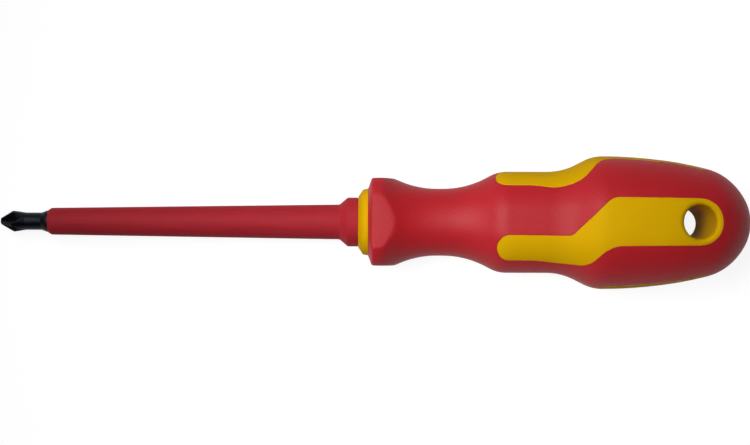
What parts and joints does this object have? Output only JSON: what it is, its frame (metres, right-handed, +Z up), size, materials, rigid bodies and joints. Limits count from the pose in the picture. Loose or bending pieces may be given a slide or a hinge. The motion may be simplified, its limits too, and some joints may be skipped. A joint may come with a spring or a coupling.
{
  "type": "insulated screwdriver",
  "caption": "Insulated screwdriver with a fixed blackened cross tip, a tapered red sleeve, and a yellow handle under a red soft grip with S-shaped windows and a hanging hole.",
  "frame": {"origin": "on the table, under the middle of the tool's length and width, with the tool lying on its thick end and its tip", "axes": "+X from the tip to the handle's end along the table, +Z up; the tool's own axis rises by 5.6 degrees towards the handle, in the XZ plane"},
  "size_m": [0.2086, 0.0372, 0.038],
  "materials": {
    "blackened_steel": "blackened",
    "sleeve_red": "moulded satin",
    "core_yellow": "moulded satin",
    "grip_red": "soft touch"
  },
  "bodies": {
    "root": {"blade": "blackened_steel", "blade_insulation": "sleeve_red", "handle_core": "core_yellow", "soft_grip": "grip_red"}
  },
  "joints": []
}
